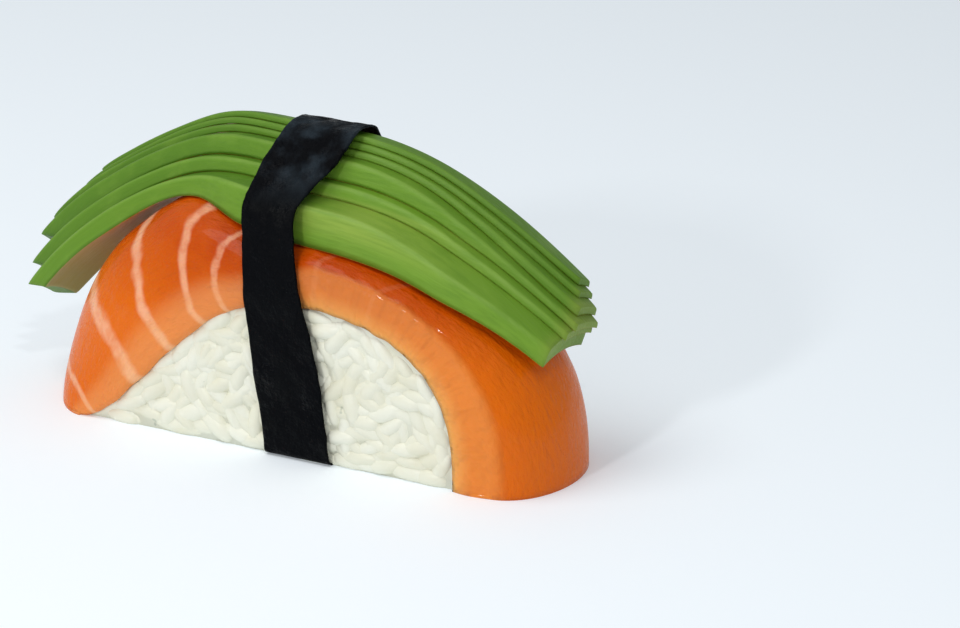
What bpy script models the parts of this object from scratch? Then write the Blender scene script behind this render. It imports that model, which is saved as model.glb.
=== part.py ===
# Salmon nigiri: a pressed rice ball under a slice of salmon, a fan of avocado slices and a nori band.
# Metres, +Z up. The long side runs along X, and the side that is seen first is at -Y.

import bisect
import math
import random

import bmesh
import bpy
from mathutils import Euler, Matrix, Vector

# Metres in one drawing unit. All sizes below are in drawing units, and the nori strip, which is
# about 10 mm wide on top, sets the scale.
UNIT = 0.00108

# Free space between two pieces that touch
GAP = 0.3

# Points closer than this many metres become one, and edges that turn by more than this look sharp
MERGE_DISTANCE = 0.00001
SHARP_ANGLE = math.radians(40)

# Half the distance over which the slope of a curve is measured, as an angle and along X
CURVE_ANGLE_STEP = 0.002
CURVE_X_STEP = 0.05

# Rice arch: the outline of the rice where it shows on its two long sides
ARCH_TOP_X = -3.0
ARCH_LEFT = 25.8
ARCH_RIGHT = 21.2
ARCH_HEIGHT = 17.4
ARCH_LEFT_POWER = 2.0
ARCH_LEFT_FALL = 1.65
ARCH_RIGHT_POWER = 2.75

# Salmon slice: its crest over the middle, and the outer edge of its cut side
CREST_TOP_X = -7.0
CREST_LEFT = 28.3
CREST_RIGHT = 35.6
CREST_HEIGHT = 24.7
CREST_LEFT_ACROSS = 0.62
CREST_LEFT_RISE = 1.22
CREST_RIGHT_ACROSS = 0.95
CREST_RIGHT_RISE = 0.8
CREST_SWELL = 1.4
SWELL_SPANS = ((-9.5, -17.0), (-18.0, -26.0))
SECTION_POWER = 2.0
SECTION_POWER_LEFT = 1.65
SECTION_CHANGE = (math.radians(120), math.radians(160))
SALMON_HALF_WIDTH = 9.2
SALMON_THICKNESS = 4.6
CUT_EDGE_THICKNESS = 4.0
THIN_EDGE_THICKNESS = 1.1
CUT_EDGE_INSET = 0.3
THIN_EDGE_UNTIL = math.radians(98)
CUT_EDGE_FROM = math.radians(80)
SALMON_COLUMNS = 42
SALMON_ROWS = 10

# Rice ball
RICE_HALF_WIDTH = 8.1
RICE_COLUMNS = 36
RICE_ROWS = 6
RICE_LEAST_HEIGHT = 0.25
GRAIN_LENGTH = 5.6
GRAIN_WIDTH = 2.5
GRAIN_SEGMENTS = 6
GRAIN_RINGS = 4
GRAINS_PER_SIDE = 105
GRAIN_SPACING = 1.72
GRAIN_FLATNESS = 0.92
GRAIN_LENGTHS = (0.8, 1.05)
GRAIN_WIDTHS = (0.88, 1.08)
GRAIN_SINKING = (0.04, 0.16)
GRAIN_TIP = math.radians(14)
GRAIN_LOWEST = 0.05
GRAIN_MARGIN = 0.25
GRAIN_BAND_MARGIN = 0.2
GRAIN_SEED = 11
GRAIN_TRIES = 30000
ARCH_STEPS = 240

# Avocado fan: the arch of its underside, its dome across and the sideways tilt of its left end
SLICE_COUNT = 6
SLICE_GAP = 0.25
FAN_TOP_X = -10.0
FAN_HEIGHT = 25.15
FAN_LEFT_REACH = 29.6
FAN_RIGHT_REACH = 38.4
FAN_LEFT_DROP = 14.6
FAN_RIGHT_DROP = 12.3
FAN_LEFT_CURVE = 2.46
FAN_RIGHT_CURVE = 3.1
FAN_DOME = 0.0245
FAN_TILT = 0.23
FAN_TILT_Y = -4.0
TILT_SPAN = (-14.0, -32.0)

# Levels of the joints between the slices over the fan's underside. Here and below, three values are for
# the fan's left end, its middle and its right end.
LEVELS_LEFT = (0.0, 2.2, 4.2, 6.45, 7.8, 8.6, 9.4)
LEVELS_MIDDLE = (0.0, 3.8, 5.25, 7.4, 8.1, 8.8, 9.5)
LEVELS_RIGHT = (0.0, 1.75, 2.5, 3.2, 4.1, 4.75, 5.4)
LEVEL_LEFT_SPAN = (-6.0, -36.0)
LEVEL_RIGHT_SPAN = (2.0, 26.0)

# Where the salmon swells under the fan, the lowest slice is thinned from below by this much
UNDERSIDE_LIFT = 1.1
UNDERSIDE_SPANS = ((-9.5, -18.0), (-19.0, -30.0))

# Edges of the slices: a slice's near edge is set back by its level times the set-back
NEAR_EDGE = (-2.2, -6.7, -4.3)
EDGE_LEFT_SPAN = (0.0, -25.0)
EDGE_RIGHT_SPAN = (14.0, 28.0)
SET_BACK = (0.88, 0.93, 1.9)
FAR_EDGE = (4.8, 3.4, 5.5)
FAR_STEP = (0.5, 0.1, 0.5)
SLICE_LEAST_WIDTH = 2.2
SLICE_SLANT = 0.25
FAR_EDGE_BLEND = 0.5

# Tips of the slices, which make uneven steps at both ends of the fan
LEFT_TIPS = (-40.9, -41.5, -41.4, -40.8, -37.0, -35.2)
RIGHT_TIPS = (27.1, 27.6, 28.0, 27.6, 26.8, 26.2)
LEFT_TIP_SLANT = 1.5
RIGHT_TIP_SLANT = 0.4
TIP_LENGTH = 0.11
TIP_INSET = 0.5
SLICE_COLUMNS = 30
SLICE_ROWS = 3

# Nori band
BAND_THICKNESS = 0.35
BAND_FOOT_WIDTH = 8.0
BAND_KNEE_WIDTH = 6.4
BAND_TOP_WIDTH = 8.4
BAND_FOOT_X = -0.6
BAND_KNEE_X = -4.8
BAND_TOP_X = -2.6
BAND_SIDE = 9.15
BAND_SHOULDER_SIDE = 9.75
BAND_SHOULDER_HEIGHT = 20.0
BAND_KNEE_SIDE = 7.6
BAND_KNEE_HEIGHT = 27.2
BAND_RIDGE_Y = 0.2
BAND_RIDGE_HEIGHT = 34.8
BAND_BACK_Y = 4.8
BAND_BACK_HEIGHT = 34.5
BAND_FOOT_RADIUS = 0.8
BAND_SHOULDER_RADIUS = 3.0
BAND_KNEE_RADIUS = 1.5
BAND_RIDGE_RADIUS = 2.0
BAND_BACK_RADIUS = 1.8
BAND_LEAN_POWER = 1.4
BAND_NARROWS_FROM = 8.0
BAND_WIDE_FROM = 32.7
BAND_CORNER_STEPS = 4
BAND_SPANS = 3
BAND_GROOVE_DEPTH = BAND_THICKNESS + GAP

# Colours of the pieces
RICE_COLOUR = (0.83, 0.84, 0.74)
SALMON_COLOUR = (0.75, 0.13, 0.015)
AVOCADO_COLOUR = (0.145, 0.27, 0.03)
NORI_COLOUR = (0.006, 0.009, 0.011)


def smooth_step(low, high, value):
    """0 below low, 1 above high, and an even rise between them."""
    t = min(1.0, max(0.0, (value - low) / (high - low)))
    return t * t * (3.0 - 2.0 * t)


def mix(a, b, t):
    """The value a share t of the way from a to b."""
    return a + (b - a) * t


def hump(x, rising, falling):
    """0 outside a stretch of the left half, 1 within it, with even slopes at both ends."""
    return smooth_step(-rising[0], -rising[1], -x) * (1.0 - smooth_step(-falling[0], -falling[1], -x))


def half_arch(angle, reach, height, across, rise):
    """Offset along X and height of an arch's half at an angle from its foot (0) to its top (90 degrees)."""
    x = reach * abs(math.cos(angle)) ** across
    z = height * max(0.0, math.sin(angle)) ** rise
    return x, z


def arch_point(angle, top_x, left, right, height, left_shape, right_shape):
    """Point (X, Z) of an uneven arch, from its right foot (0) over its top to its left foot (180 degrees)."""
    if angle > math.pi / 2:
        x, z = half_arch(angle, left, height, *left_shape)
        return Vector((top_x - x, z))
    x, z = half_arch(angle, right, height, *right_shape)
    return Vector((top_x + x, z))


def rice_arch(angle):
    """Outline of the rice on its long sides."""
    left_shape = (2.0 / ARCH_LEFT_POWER, 2.0 * ARCH_LEFT_FALL)
    right_shape = (2.0 / ARCH_RIGHT_POWER, 2.0 / ARCH_RIGHT_POWER)
    return arch_point(angle, ARCH_TOP_X, ARCH_LEFT, ARCH_RIGHT, ARCH_HEIGHT, left_shape, right_shape)


def crest(angle):
    """Outer outline of the salmon along its middle."""
    left_shape = (CREST_LEFT_ACROSS, CREST_LEFT_RISE)
    right_shape = (CREST_RIGHT_ACROSS, CREST_RIGHT_RISE)
    point = arch_point(angle, CREST_TOP_X, CREST_LEFT, CREST_RIGHT, CREST_HEIGHT, left_shape, right_shape)
    point.y += CREST_SWELL * hump(point.x, *SWELL_SPANS)
    return point


def outward(curve, angle):
    """Unit normal of a curve in the XZ plane, pointing away from the rice."""
    before = curve(max(0.0, angle - CURVE_ANGLE_STEP))
    after = curve(min(math.pi, angle + CURVE_ANGLE_STEP))
    along = after - before
    normal = Vector((along.y, -along.x))
    if along.length == 0.0:
        return Vector((1.0, 0.0))
    return normal.normalized()


def moved_out(curve, angle, distance):
    """Point of a curve moved along its normal, kept on or above the floor."""
    point = curve(angle) + outward(curve, angle) * distance
    if angle <= 0.0 or angle >= math.pi:
        point.y = 0.0
    point.y = max(0.0, point.y)
    return point


def cut_edge_share(angle):
    """1 where the slice ends in a thick cut edge, 0 where it hangs down as a thin edge."""
    return 1.0 - smooth_step(CUT_EDGE_FROM, THIN_EDGE_UNTIL, angle)


def outer_edge(angle):
    """Outer edge of the salmon on its long sides."""
    return moved_out(rice_arch, angle, CUT_EDGE_THICKNESS * cut_edge_share(angle) + GAP)


def inner_edge(angle):
    """Inner edge of the salmon on its long sides."""
    return moved_out(rice_arch, angle, GAP)


def rice_edge(angle):
    """Edge of the rice under the salmon."""
    return moved_out(rice_arch, angle, 0.0)


def inner_crest(angle):
    """Underside of the salmon along its middle."""
    return moved_out(crest, angle, -SALMON_THICKNESS)


def rice_crest(angle):
    """Top of the rice along its middle."""
    return moved_out(crest, angle, -SALMON_THICKNESS - GAP)


def domed(edge_point, crest_point, share, angle):
    """Point between a long side's edge and the crest, for a share of the half width (0 is the middle)."""
    power = mix(SECTION_POWER, SECTION_POWER_LEFT, smooth_step(*SECTION_CHANGE, angle))
    rise = max(0.0, 1.0 - abs(share) ** power) ** (1.0 / power)
    return edge_point + (crest_point - edge_point) * rise


def section_share(v):
    """Signed share of the half width for v from 0 to 1, with closer steps at the two edges."""
    return -math.cos(math.pi * v)


def salmon_point(u, v, w):
    """Point of the salmon: u from its right to its left end, v across it, w from its underside to its top."""
    angle = math.pi * u
    share = section_share(v)
    if w > 0.5:
        half_width = SALMON_HALF_WIDTH - CUT_EDGE_INSET * cut_edge_share(angle)
        flat = domed(outer_edge(angle), crest(angle), share, angle)
    else:
        half_width = SALMON_HALF_WIDTH - mix(THIN_EDGE_THICKNESS, CUT_EDGE_INSET, cut_edge_share(angle))
        flat = domed(inner_edge(angle), inner_crest(angle), share, angle)
    return Vector((flat.x, share * half_width, flat.y))


def rice_point(u, v, w):
    """Point of the bare rice ball: w is 0 on its flat base and 1 on its skin."""
    angle = math.pi * u
    share = section_share(v)
    flat = domed(rice_edge(angle), rice_crest(angle), share, angle)
    height = max(flat.y, RICE_LEAST_HEIGHT) if w > 0.5 else 0.0
    return Vector((flat.x, share * RICE_HALF_WIDTH, height))


def fan_base(x):
    """Height of the avocado fan's underside along its middle."""
    if x < FAN_TOP_X:
        share = (FAN_TOP_X - x) / FAN_LEFT_REACH
        return FAN_HEIGHT - FAN_LEFT_DROP * share ** FAN_LEFT_CURVE
    share = (x - FAN_TOP_X) / FAN_RIGHT_REACH
    return FAN_HEIGHT - FAN_RIGHT_DROP * share ** FAN_RIGHT_CURVE


def fan_slope_length(x):
    """Height that one unit of thickness takes up where the fan's underside slopes."""
    rise = (fan_base(x + CURVE_X_STEP) - fan_base(x - CURVE_X_STEP)) / (2.0 * CURVE_X_STEP)
    return math.hypot(rise, 1.0)


def along_fan(x, values, left_span, right_span):
    """Value at x from the values for the fan's left end, its middle and its right end."""
    left, middle, right = values
    value = mix(middle, left, smooth_step(-left_span[0], -left_span[1], -x))
    return mix(value, right, smooth_step(*right_span, x))


def joint_level(joint, x):
    """Level of a joint between slices over the fan's underside: joint 0 is the underside itself."""
    values = (LEVELS_LEFT[joint], LEVELS_MIDDLE[joint], LEVELS_RIGHT[joint])
    level = along_fan(x, values, LEVEL_LEFT_SPAN, LEVEL_RIGHT_SPAN)
    return level + UNDERSIDE_LIFT * hump(x, *UNDERSIDE_SPANS) if joint == 0 else level


def slice_thickness(index, x):
    """Thickness of a slice, which leaves a gap under the next one."""
    return joint_level(index + 1, x) - joint_level(index, x) - SLICE_GAP


def slice_edges(index, x):
    """Y of a slice's near and far edge."""
    set_back = along_fan(x, SET_BACK, LEVEL_LEFT_SPAN, LEVEL_RIGHT_SPAN)
    near = along_fan(x, NEAR_EDGE, EDGE_LEFT_SPAN, EDGE_RIGHT_SPAN) + set_back * joint_level(index, x)
    plain_far = along_fan(x, FAR_EDGE, LEVEL_LEFT_SPAN, LEVEL_RIGHT_SPAN)
    plain_far += along_fan(x, FAR_STEP, LEVEL_LEFT_SPAN, LEVEL_RIGHT_SPAN) * index
    least_far = near + SLICE_LEAST_WIDTH
    return near, (plain_far + least_far + math.hypot(plain_far - least_far, FAR_EDGE_BLEND)) / 2.0


def fan_point(x, y, level):
    """Point of the fan at a level over its underside."""
    tilt = FAN_TILT * smooth_step(-TILT_SPAN[0], -TILT_SPAN[1], -x) * (y - FAN_TILT_Y)
    lift = level - FAN_DOME * y * y - tilt
    return Vector((x, y, fan_base(x) + lift * fan_slope_length(x)))


def slice_point(index, u, v, w):
    """Point of an avocado slice: u from its left to its right tip, v from its near to its far edge."""
    left = LEFT_TIPS[index] + LEFT_TIP_SLANT * (1.0 - w) * slice_thickness(index, LEFT_TIPS[index])
    right = RIGHT_TIPS[index] - RIGHT_TIP_SLANT * (1.0 - w) * slice_thickness(index, RIGHT_TIPS[index])
    x = mix(left, right, u)
    near, far = slice_edges(index, x)
    thickness = slice_thickness(index, x)
    tip = min(1.0, u / TIP_LENGTH, (1.0 - u) / TIP_LENGTH)
    inset = TIP_INSET * (1.0 - math.sqrt(max(0.0, 1.0 - (1.0 - tip) ** 2)))
    y = mix(near + SLICE_SLANT * thickness * w + inset, far - inset, v)
    return fan_point(x, y, joint_level(index, x) + thickness * w)


def new_object(name, mesh_builder, collection):
    """Object whose mesh is a finished bmesh, linked to the collection."""
    mesh = bpy.data.meshes.new(name)
    bmesh.ops.recalc_face_normals(mesh_builder, faces=mesh_builder.faces[:])
    mesh_builder.to_mesh(mesh)
    mesh_builder.free()
    mesh.shade_smooth()
    mesh.set_sharp_from_angle(angle=SHARP_ANGLE)
    piece = bpy.data.objects.new(name, mesh)
    collection.objects.link(piece)
    return piece


def slab(name, columns, rows, place, collection):
    """Closed slab: a grid is extruded once, and every corner goes where place(u, v, w) puts it."""
    builder = bmesh.new()
    bmesh.ops.create_grid(builder, x_segments=columns, y_segments=rows, size=0.5)
    lower = builder.verts[:]
    extruded = bmesh.ops.extrude_face_region(
        builder,
        geom=builder.faces[:] + builder.edges[:] + lower,
        use_keep_orig=True,
    )
    upper = [item for item in extruded["geom"] if isinstance(item, bmesh.types.BMVert)]
    for vertex in lower:
        vertex.co = place(vertex.co.x + 0.5, vertex.co.y + 0.5, 0.0) * UNIT
    for vertex in upper:
        vertex.co = place(vertex.co.x + 0.5, vertex.co.y + 0.5, 1.0) * UNIT
    bmesh.ops.remove_doubles(builder, verts=builder.verts[:], dist=MERGE_DISTANCE)
    bmesh.ops.dissolve_degenerate(builder, edges=builder.edges[:], dist=MERGE_DISTANCE)
    return new_object(name, builder, collection)


def food_material(name, colour, roughness):
    """Plain food material."""
    material = bpy.data.materials.new(name)
    material.use_nodes = True
    shader = material.node_tree.nodes["Principled BSDF"]
    shader.inputs["Base Color"].default_value = (*colour, 1.0)
    shader.inputs["Roughness"].default_value = roughness
    shader.inputs["Metallic"].default_value = 0.0
    return material


def make_salmon(collection):
    """Salmon slice, laid over the rice lengthwise and down to the floor at both ends."""
    salmon = slab("salmon", SALMON_COLUMNS, SALMON_ROWS, salmon_point, collection)
    salmon.data.materials.append(food_material("salmon", SALMON_COLOUR, 0.3))
    return salmon


def make_avocado(collection):
    """Fan of thin avocado slices, the lowest one first."""
    flesh = food_material("avocado", AVOCADO_COLOUR, 0.45)
    slices = []
    for index in range(SLICE_COUNT):
        def place(u, v, w, index=index):
            return slice_point(index, u, v, w)
        piece = slab("avocado_%d" % (index + 1), SLICE_COLUMNS, SLICE_ROWS, place, collection)
        piece.data.materials.append(flesh)
        slices.append(piece)
    return slices


def rounded_corner(before, corner, after, radius):
    """Points of an arc that rounds one corner of an outline."""
    to_before = (before - corner).normalized()
    to_after = (after - corner).normalized()
    start = corner + to_before * radius
    end = corner + to_after * radius
    points = []
    for step in range(BAND_CORNER_STEPS + 1):
        t = step / BAND_CORNER_STEPS
        points.append(start * (1 - t) ** 2 + corner * 2 * t * (1 - t) + end * t ** 2)
    return points


def band_outline():
    """Closed loop (Y, Z) of the band's inner face, from the floor up the near side and down the far side."""
    floor = BAND_THICKNESS
    corners = [
        (Vector((-BAND_SIDE, floor)), BAND_FOOT_RADIUS),
        (Vector((-BAND_SHOULDER_SIDE, BAND_SHOULDER_HEIGHT)), BAND_SHOULDER_RADIUS),
        (Vector((-BAND_KNEE_SIDE, BAND_KNEE_HEIGHT)), BAND_KNEE_RADIUS),
        (Vector((BAND_RIDGE_Y, BAND_RIDGE_HEIGHT)), BAND_RIDGE_RADIUS),
        (Vector((BAND_BACK_Y, BAND_BACK_HEIGHT)), BAND_BACK_RADIUS),
        (Vector((BAND_SHOULDER_SIDE, BAND_SHOULDER_HEIGHT)), BAND_SHOULDER_RADIUS),
        (Vector((BAND_SIDE, floor)), BAND_FOOT_RADIUS),
    ]
    points = []
    for index, (corner, radius) in enumerate(corners):
        before = corners[index - 1][0]
        after = corners[(index + 1) % len(corners)][0]
        arc = rounded_corner(before, corner, after, radius)
        if points:
            previous = points[-1]
            for step in range(1, BAND_SPANS):
                points.append(previous.lerp(arc[0], step / BAND_SPANS))
        points.extend(arc)
    for step in range(1, BAND_SPANS):
        points.append(arc[-1].lerp(points[0], step / BAND_SPANS))
    return points


def band_middle(y, z):
    """X of the band's middle: on the near side it leans, and it is nearly upright on the far side."""
    if y > 0.0:
        return mix(BAND_FOOT_X, BAND_TOP_X, z / BAND_RIDGE_HEIGHT)
    if z < BAND_KNEE_HEIGHT:
        return mix(BAND_FOOT_X, BAND_KNEE_X, (z / BAND_KNEE_HEIGHT) ** BAND_LEAN_POWER)
    return mix(BAND_KNEE_X, BAND_TOP_X, smooth_step(BAND_KNEE_HEIGHT, BAND_RIDGE_HEIGHT, z))


def band_width(z):
    """Width of the band: drawn in at the knee and widest on top."""
    if z < BAND_KNEE_HEIGHT:
        return mix(BAND_FOOT_WIDTH, BAND_KNEE_WIDTH, smooth_step(BAND_NARROWS_FROM, BAND_KNEE_HEIGHT, z))
    return mix(BAND_KNEE_WIDTH, BAND_TOP_WIDTH, smooth_step(BAND_KNEE_HEIGHT, BAND_WIDE_FROM, z))


def make_nori(collection):
    """Nori band: an open ring of three edge loops, thickened outwards by Solidify."""
    outline = band_outline()
    builder = bmesh.new()
    ring = bmesh.ops.create_circle(builder, cap_ends=False, segments=len(outline), radius=1.0)["verts"]
    loops = [ring]
    for _ in range(2):
        edges = [edge for edge in builder.edges if all(vertex in loops[-1] for vertex in edge.verts)]
        extruded = bmesh.ops.extrude_edge_only(builder, edges=edges)
        fresh = [item for item in extruded["geom"] if isinstance(item, bmesh.types.BMVert)]
        fresh.sort(key=lambda vertex: math.atan2(vertex.co.y, vertex.co.x) % math.tau)
        loops.append(fresh)
    loops[0] = sorted(ring, key=lambda vertex: math.atan2(vertex.co.y, vertex.co.x) % math.tau)
    for index, loop in enumerate(loops):
        side = index / 2.0 - 0.5
        for vertex, point in zip(loop, outline):
            x = band_middle(point.x, point.y) + side * band_width(point.y)
            vertex.co = Vector((x, point.x, point.y)) * UNIT
    nori = new_object("nori", builder, collection)
    thicken = nori.modifiers.new("thickness", "SOLIDIFY")
    thicken.thickness = BAND_THICKNESS * UNIT
    thicken.offset = 1.0
    thicken.use_even_offset = True
    nori.data.materials.append(food_material("nori", NORI_COLOUR, 0.4))
    return nori


def arch_table():
    """Points of the rice's outline on its long sides with their outward normals, in the order of their X."""
    table = []
    for step in range(ARCH_STEPS, -1, -1):
        angle = math.pi * step / ARCH_STEPS
        table.append((rice_arch(angle), outward(rice_arch, angle)))
    return table


def inside_arch(x, z, table):
    """Whether a point of a long side lies well within the rice's outline."""
    number = bisect.bisect_left(table, x, key=lambda entry: entry[0].x)
    outline, normal = table[min(number, ARCH_STEPS)]
    return (outline - Vector((x, z))).dot(normal) > GRAIN_MARGIN


def grain_mesh(builder, centre, turn, length, width):
    """One grain of rice: a stretched ball."""
    made = bmesh.ops.create_uvsphere(builder, u_segments=GRAIN_SEGMENTS, v_segments=GRAIN_RINGS, radius=0.5)
    stretch = Matrix.Diagonal((width, width * GRAIN_FLATNESS, length, 1.0))
    place = Matrix.Translation(centre) @ turn.to_matrix().to_4x4() @ stretch
    bmesh.ops.transform(builder, matrix=place, verts=made["verts"])
    return made["verts"]


def under_band(point):
    """Whether a point lies where the band crosses the long sides."""
    return abs(point.x - band_middle(point.y, point.z)) < band_width(point.z) / 2.0 + GRAIN_BAND_MARGIN


def grain_fits(vertices, table):
    """Whether a grain is clear of the floor, the salmon and the band."""
    for vertex in vertices:
        x, y, z = vertex.co
        if z < GRAIN_LOWEST:
            return False
        if not inside_arch(x, z, table):
            return False
        if abs(y) > RICE_HALF_WIDTH and under_band(vertex.co):
            return False
    return True


def scatter_grains(side, chance, table):
    """Grains laid on one long side of the rice: side is -1 for the near one and 1 for the far one."""
    grains = []
    centres = []
    tries = 0
    while len(grains) < GRAINS_PER_SIDE and tries < GRAIN_TRIES:
        tries += 1
        x = chance.uniform(ARCH_TOP_X - ARCH_LEFT, ARCH_TOP_X + ARCH_RIGHT)
        z = chance.uniform(GRAIN_WIDTH / 2.0, ARCH_HEIGHT)
        if any((x - other_x) ** 2 + (z - other_z) ** 2 < GRAIN_SPACING ** 2 for other_x, other_z in centres):
            continue
        depth = RICE_HALF_WIDTH - GRAIN_WIDTH * chance.uniform(*GRAIN_SINKING)
        length = GRAIN_LENGTH * chance.uniform(*GRAIN_LENGTHS)
        width = GRAIN_WIDTH * chance.uniform(*GRAIN_WIDTHS)
        lean = chance.uniform(0.0, math.pi)
        turn = Euler((chance.uniform(-GRAIN_TIP, GRAIN_TIP), lean, 0.0), "XYZ")
        builder = bmesh.new()
        vertices = grain_mesh(builder, Vector((x, side * depth, z)), turn, length, width)
        if grain_fits(vertices, table):
            centres.append((x, z))
            grains.append(builder)
        else:
            builder.free()
    return grains


def groove_cutter(collection):
    """Cutter for the shallow groove in the base that takes the band."""
    builder = bmesh.new()
    bmesh.ops.create_cube(builder, size=1.0)
    width = BAND_FOOT_WIDTH + 2.0 * GAP
    size = Vector((width, 3.0 * SALMON_HALF_WIDTH, 2.0 * BAND_GROOVE_DEPTH)) * UNIT
    bmesh.ops.scale(builder, vec=size, verts=builder.verts[:])
    bmesh.ops.translate(builder, vec=Vector((BAND_FOOT_X * UNIT, 0.0, 0.0)), verts=builder.verts[:])
    cutter = new_object("groove_cutter", builder, collection)
    cutter.hide_render = True
    cutter.display_type = "WIRE"
    return cutter


def apply_modifiers(piece):
    """Replace a piece's mesh by its evaluated mesh."""
    evaluated = piece.evaluated_get(bpy.context.evaluated_depsgraph_get())
    finished = bpy.data.meshes.new_from_object(evaluated)
    piece.modifiers.clear()
    piece.data = finished


def keep_main_body(piece):
    """Fill the small hollows that fusing seals and drop loose scraps: only the largest shell stays."""
    builder = bmesh.new()
    builder.from_mesh(piece.data)
    waiting = set(builder.verts)
    shells = []
    while waiting:
        front = [waiting.pop()]
        shell = []
        while front:
            vertex = front.pop()
            shell.append(vertex)
            for edge in vertex.link_edges:
                other = edge.other_vert(vertex)
                if other in waiting:
                    waiting.remove(other)
                    front.append(other)
        shells.append(shell)
    shells.sort(key=len)
    for shell in shells[:-1]:
        bmesh.ops.delete(builder, geom=shell, context="VERTS")
    builder.to_mesh(piece.data)
    builder.free()


def make_rice(collection, loose):
    """Rice ball: a smooth core with whole grains fused on where it shows."""
    rice = slab("rice", RICE_COLUMNS, RICE_ROWS, rice_point, collection)
    cutter = groove_cutter(loose)
    carve = rice.modifiers.new("groove", "BOOLEAN")
    carve.operation = "DIFFERENCE"
    carve.object = cutter
    carve.solver = "MANIFOLD"
    apply_modifiers(rice)
    chance = random.Random(GRAIN_SEED)
    grains = bpy.data.collections.new("grains")
    loose.children.link(grains)
    table = arch_table()
    for side in (-1, 1):
        for builder in scatter_grains(side, chance, table):
            bmesh.ops.scale(builder, vec=Vector((UNIT, UNIT, UNIT)), verts=builder.verts[:])
            new_object("grain", builder, grains)
    join = rice.modifiers.new("grains", "BOOLEAN")
    join.operation = "UNION"
    join.operand_type = "COLLECTION"
    join.collection = grains
    join.solver = "MANIFOLD"
    apply_modifiers(rice)
    keep_main_body(rice)
    for grain in list(grains.objects):
        bpy.data.objects.remove(grain)
    bpy.data.collections.remove(grains)
    rice.data.shade_smooth()
    rice.data.set_sharp_from_angle(angle=SHARP_ANGLE)
    rice.data.materials.clear()
    rice.data.materials.append(food_material("rice", RICE_COLOUR, 0.5))
    return rice


def centre_on_footprint(pieces):
    """Move all pieces so that the middle of their footprint is at the origin."""
    graph = bpy.context.evaluated_depsgraph_get()
    graph.update()
    corners = []
    for piece in pieces:
        corners += [piece.matrix_world @ Vector(corner) for corner in piece.evaluated_get(graph).bound_box]
    middle_x = (min(corner.x for corner in corners) + max(corner.x for corner in corners)) / 2.0
    middle_y = (min(corner.y for corner in corners) + max(corner.y for corner in corners)) / 2.0
    for piece in pieces:
        piece.location = (-middle_x, -middle_y, 0.0)


def main():
    for old in list(bpy.data.objects):
        bpy.data.objects.remove(old)
    parts = bpy.data.collections.new("nigiri")
    loose = bpy.data.collections.new("cutters")
    bpy.context.scene.collection.children.link(parts)
    bpy.context.scene.collection.children.link(loose)
    rice = make_rice(parts, loose)
    salmon = make_salmon(parts)
    slices = make_avocado(parts)
    nori = make_nori(parts)
    centre_on_footprint([rice, salmon, nori] + slices)


main()
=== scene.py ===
# Salmon nigiri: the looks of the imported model, with a camera, a pale floor and soft light.
# Shapes are worked out in drawing units along, across and above the floor, and put in metres at the end.

import math
import random

import bmesh
import bpy
import numpy as np
from mathutils import Euler, Matrix, Vector, noise

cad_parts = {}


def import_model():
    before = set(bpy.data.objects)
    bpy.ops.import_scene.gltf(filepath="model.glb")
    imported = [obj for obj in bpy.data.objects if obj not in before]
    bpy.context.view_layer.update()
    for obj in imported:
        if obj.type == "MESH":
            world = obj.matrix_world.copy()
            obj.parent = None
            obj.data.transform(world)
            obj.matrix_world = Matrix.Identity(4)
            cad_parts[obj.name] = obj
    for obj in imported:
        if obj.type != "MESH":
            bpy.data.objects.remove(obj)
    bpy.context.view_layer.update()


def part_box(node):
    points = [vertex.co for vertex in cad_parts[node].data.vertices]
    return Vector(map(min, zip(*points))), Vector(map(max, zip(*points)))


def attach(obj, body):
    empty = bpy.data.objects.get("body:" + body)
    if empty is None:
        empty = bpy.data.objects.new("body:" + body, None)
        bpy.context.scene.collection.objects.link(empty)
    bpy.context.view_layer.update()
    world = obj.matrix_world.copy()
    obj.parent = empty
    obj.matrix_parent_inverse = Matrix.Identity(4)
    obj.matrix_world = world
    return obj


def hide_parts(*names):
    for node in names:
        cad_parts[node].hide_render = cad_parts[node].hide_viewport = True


# Metres in one drawing unit, and the distance in metres within which points become one
UNIT = 0.00108
MERGE_DISTANCE = 0.000001

# Camera: direction and distance, and where the point under the rice falls in the photograph
VIEW_AZIMUTH = math.radians(28.5)
VIEW_ELEVATION = math.radians(20.0)
VIEW_DISTANCE = 450.0
VIEW_SCALE = 9.1
IMAGE_WIDTH = 960
IMAGE_HEIGHT = 628
ORIGIN_PIXEL_X = 345.0
ORIGIN_PIXEL_Y = 434.0
SENSOR_WIDTH = 36.0
CLIP_START = 0.01
CLIP_END = 20.0

# Light: place in metres, size, power and colour of each lamp, then the surroundings and the floor
KEY_LIGHT = ((-0.15, -0.15, 0.45), 0.3, 0.9, (1.0, 0.99, 0.97))
WINDOW_LIGHT = ((-0.04, -0.5, 0.24), 0.05, 0.7, (1.0, 0.99, 0.98))
SIDE_LIGHT = ((0.2, -0.22, 0.39), 0.028, 0.22, (1.0, 1.0, 1.0))
SURROUNDINGS = 0.45
SURROUNDINGS_COLOUR = (0.95, 0.98, 1.0, 1.0)
FLOOR_HALF_SIZE = 3.0
FLOOR_GLOW = 0.15
FLOOR_GLOW_COLOUR = (0.87, 0.94, 1.0, 1.0)

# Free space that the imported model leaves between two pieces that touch
GAP = 0.3

# How far a seed moves the place where the noise is read. Below, a closeness is how fast it is passed through.
SEED_STEPS = (17.3, -9.1, 4.7)

# Half the distance over which the slope of a curve is measured, as an angle and along X
CURVE_ANGLE_STEP = 0.002
CURVE_X_STEP = 0.05

# Rice arch: the outline of the rice where it shows on its two long sides
ARCH_TOP_X = -3.0
ARCH_LEFT = 25.8
ARCH_RIGHT = 21.2
ARCH_HEIGHT = 17.4
ARCH_LEFT_POWER = 2.0
ARCH_LEFT_FALL = 1.65
ARCH_RIGHT_POWER = 2.75
ARCH_STEPS = 300

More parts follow.
